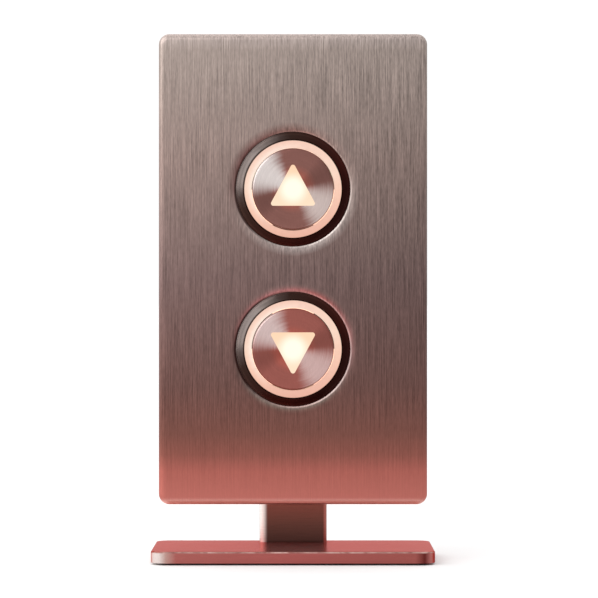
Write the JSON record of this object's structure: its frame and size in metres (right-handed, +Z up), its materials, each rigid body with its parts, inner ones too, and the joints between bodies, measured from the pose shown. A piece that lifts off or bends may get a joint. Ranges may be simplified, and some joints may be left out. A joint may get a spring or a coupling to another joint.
{
  "type": "elevator call button panel",
  "caption": "Brushed steel lift call panel on a desk stand, with lit up and down arrow push buttons in dished holes, a flat post and a base plate.",
  "frame": {"origin": "on the desk, under the middle of the base plate", "axes": "+Z up, the panel faces -Y, +X is to the right of someone who faces the panel"},
  "size_m": [0.0978, 0.05, 0.1835],
  "materials": {
    "panel_steel": "vertical hairline brushed stainless steel",
    "cap_steel": "circular turned stainless steel",
    "post_steel": "satin steel in the panel's shade",
    "base_steel": "satin steel with a warm cast",
    "bezel_dark": "dark polished",
    "halo_glow": "opal light guide",
    "arrow_glow": "opal lens",
    "lamp_white": "moulded",
    "clear_plastic": "translucent",
    "black_plastic": "moulded",
    "terminal_green": "moulded",
    "board_green": "solder mask",
    "capacitor_can": "satin",
    "zinc": "zinc plated",
    "spring_steel": "bright drawn wire",
    "brass": "turned",
    "rubber": "matte"
  },
  "bodies": {
    "panel": {"faceplate": "panel_steel", "rear_cover": "panel_steel", "cover_brackets": "zinc", "cover_screws": "zinc", "weld_studs": "zinc", "stud_nuts": "zinc", "main_board": "board_green", "board_screws": "zinc", "terminal_block": "terminal_green", "terminal_screws": "zinc", "driver_chip": "black_plastic", "capacitors": "capacitor_can", "cable_grommet": "rubber", "press_nuts": "zinc", "post": "post_steel", "post_screws": "zinc", "base_plate": "base_steel", "base_screws": "zinc", "foot_pad": "rubber", "up_bezel": "bezel_dark", "up_halo_ring": "halo_glow", "up_return_spring": "spring_steel", "up_housing": "black_plastic", "up_switch_body": "black_plastic", "up_lamps": "lamp_white", "down_bezel": "bezel_dark", "down_halo_ring": "halo_glow", "down_return_spring": "spring_steel", "down_housing": "black_plastic", "down_switch_body": "black_plastic", "down_lamps": "lamp_white"},
    "up_button": {"up_cap": "cap_steel", "up_arrow_lens": "arrow_glow", "up_plunger": "clear_plastic"},
    "down_button": {"down_cap": "cap_steel", "down_arrow_lens": "arrow_glow", "down_plunger": "clear_plastic"},
    "up_switch": {"up_switch_plunger": "brass"},
    "down_switch": {"down_switch_plunger": "brass"}
  },
  "joints": [
    {"name": "up_press", "type": "slide", "parent": "panel", "child": "up_button", "axis": [0, 1, 0], "range_m": [0, 0.0015], "stiffness_N_per_m": 800, "springref_m": -0.002, "deforming": ["up_return_spring"]},
    {"name": "down_press", "type": "slide", "parent": "panel", "child": "down_button", "axis": [0, 1, 0], "range_m": [0, 0.0015], "stiffness_N_per_m": 800, "springref_m": -0.002, "deforming": ["down_return_spring"]},
    {"name": "up_switch_press", "type": "slide", "parent": "panel", "child": "up_switch", "axis": [0, 1, 0], "range_m": [0, 0.0015]},
    {"name": "down_switch_press", "type": "slide", "parent": "panel", "child": "down_switch", "axis": [0, 1, 0], "range_m": [0, 0.0015]}
  ],
  "couplings": [
    {"joint": "up_switch_press", "follows": "up_press", "ratio": 1},
    {"joint": "down_switch_press", "follows": "down_press", "ratio": 1}
  ]
}
